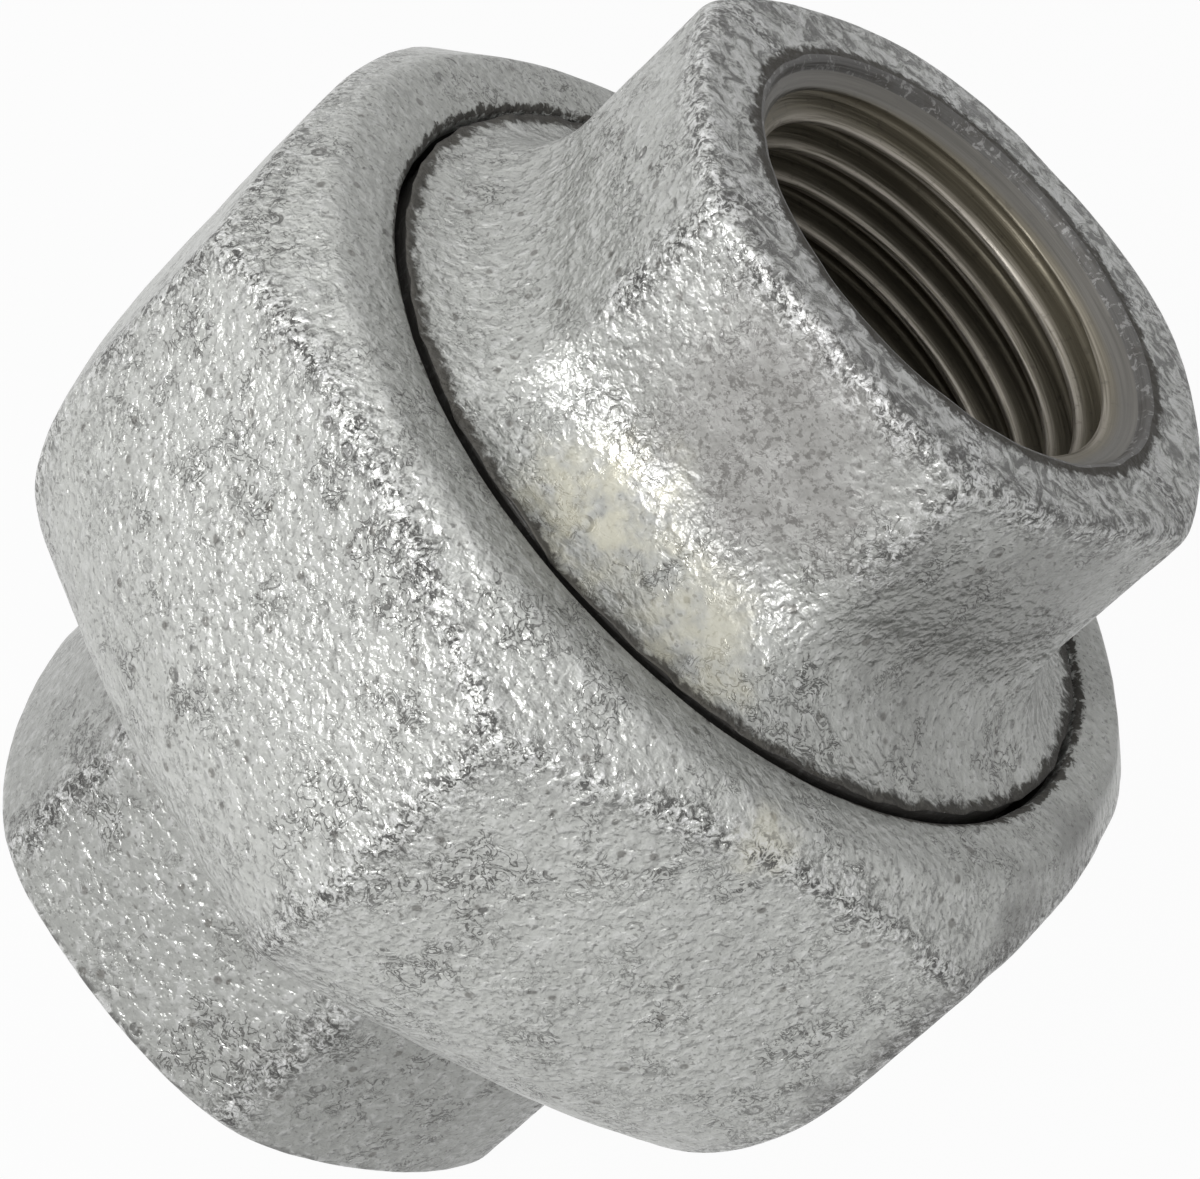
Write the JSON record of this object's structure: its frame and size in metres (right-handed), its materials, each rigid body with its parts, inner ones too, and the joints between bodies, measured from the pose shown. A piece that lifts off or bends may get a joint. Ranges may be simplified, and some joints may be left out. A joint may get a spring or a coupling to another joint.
{
  "type": "pipe union coupling",
  "caption": "Cast pipe union: two hexagon ends with internal pipe threads, drawn together on a flat ring by a hexagon nut with a right-hand thread.",
  "frame": {"origin": "middle of the lower end's outer face, on the surface it stands on", "axes": "+Z along the pipe axis, from the lower end to the upper end; -Y faces the viewer"},
  "size_m": [0.0466, 0.0506, 0.0486],
  "materials": {
    "galvanised_iron": "hot-dip zinc on rough cast malleable iron",
    "ring_rubber": "matt moulded rubber"
  },
  "bodies": {
    "tail": {"tail_piece": "galvanised_iron"},
    "ring": {"sealing_ring": "ring_rubber"},
    "nut": {"union_nut": "galvanised_iron"},
    "head": {"head_piece": "galvanised_iron"}
  },
  "joints": [
    {"name": "end_swivel", "type": "hinge", "parent": "tail", "child": "ring", "pos_m": [0, 0, 0.0207], "axis": [0, 0, 1], "continuous": true},
    {"name": "nut_turn", "type": "hinge", "parent": "ring", "child": "nut", "pos_m": [0, 0, 0.0242], "axis": [0, 0, -1], "range_deg": [0, 1050]},
    {"name": "head_lift", "type": "slide", "parent": "ring", "child": "head", "axis": [0, 0, 1], "range_m": [0, 0.00673]}
  ],
  "couplings": [
    {"joint": "nut_turn", "follows": "head_lift", "rad_per_m": 2721.2}
  ]
}
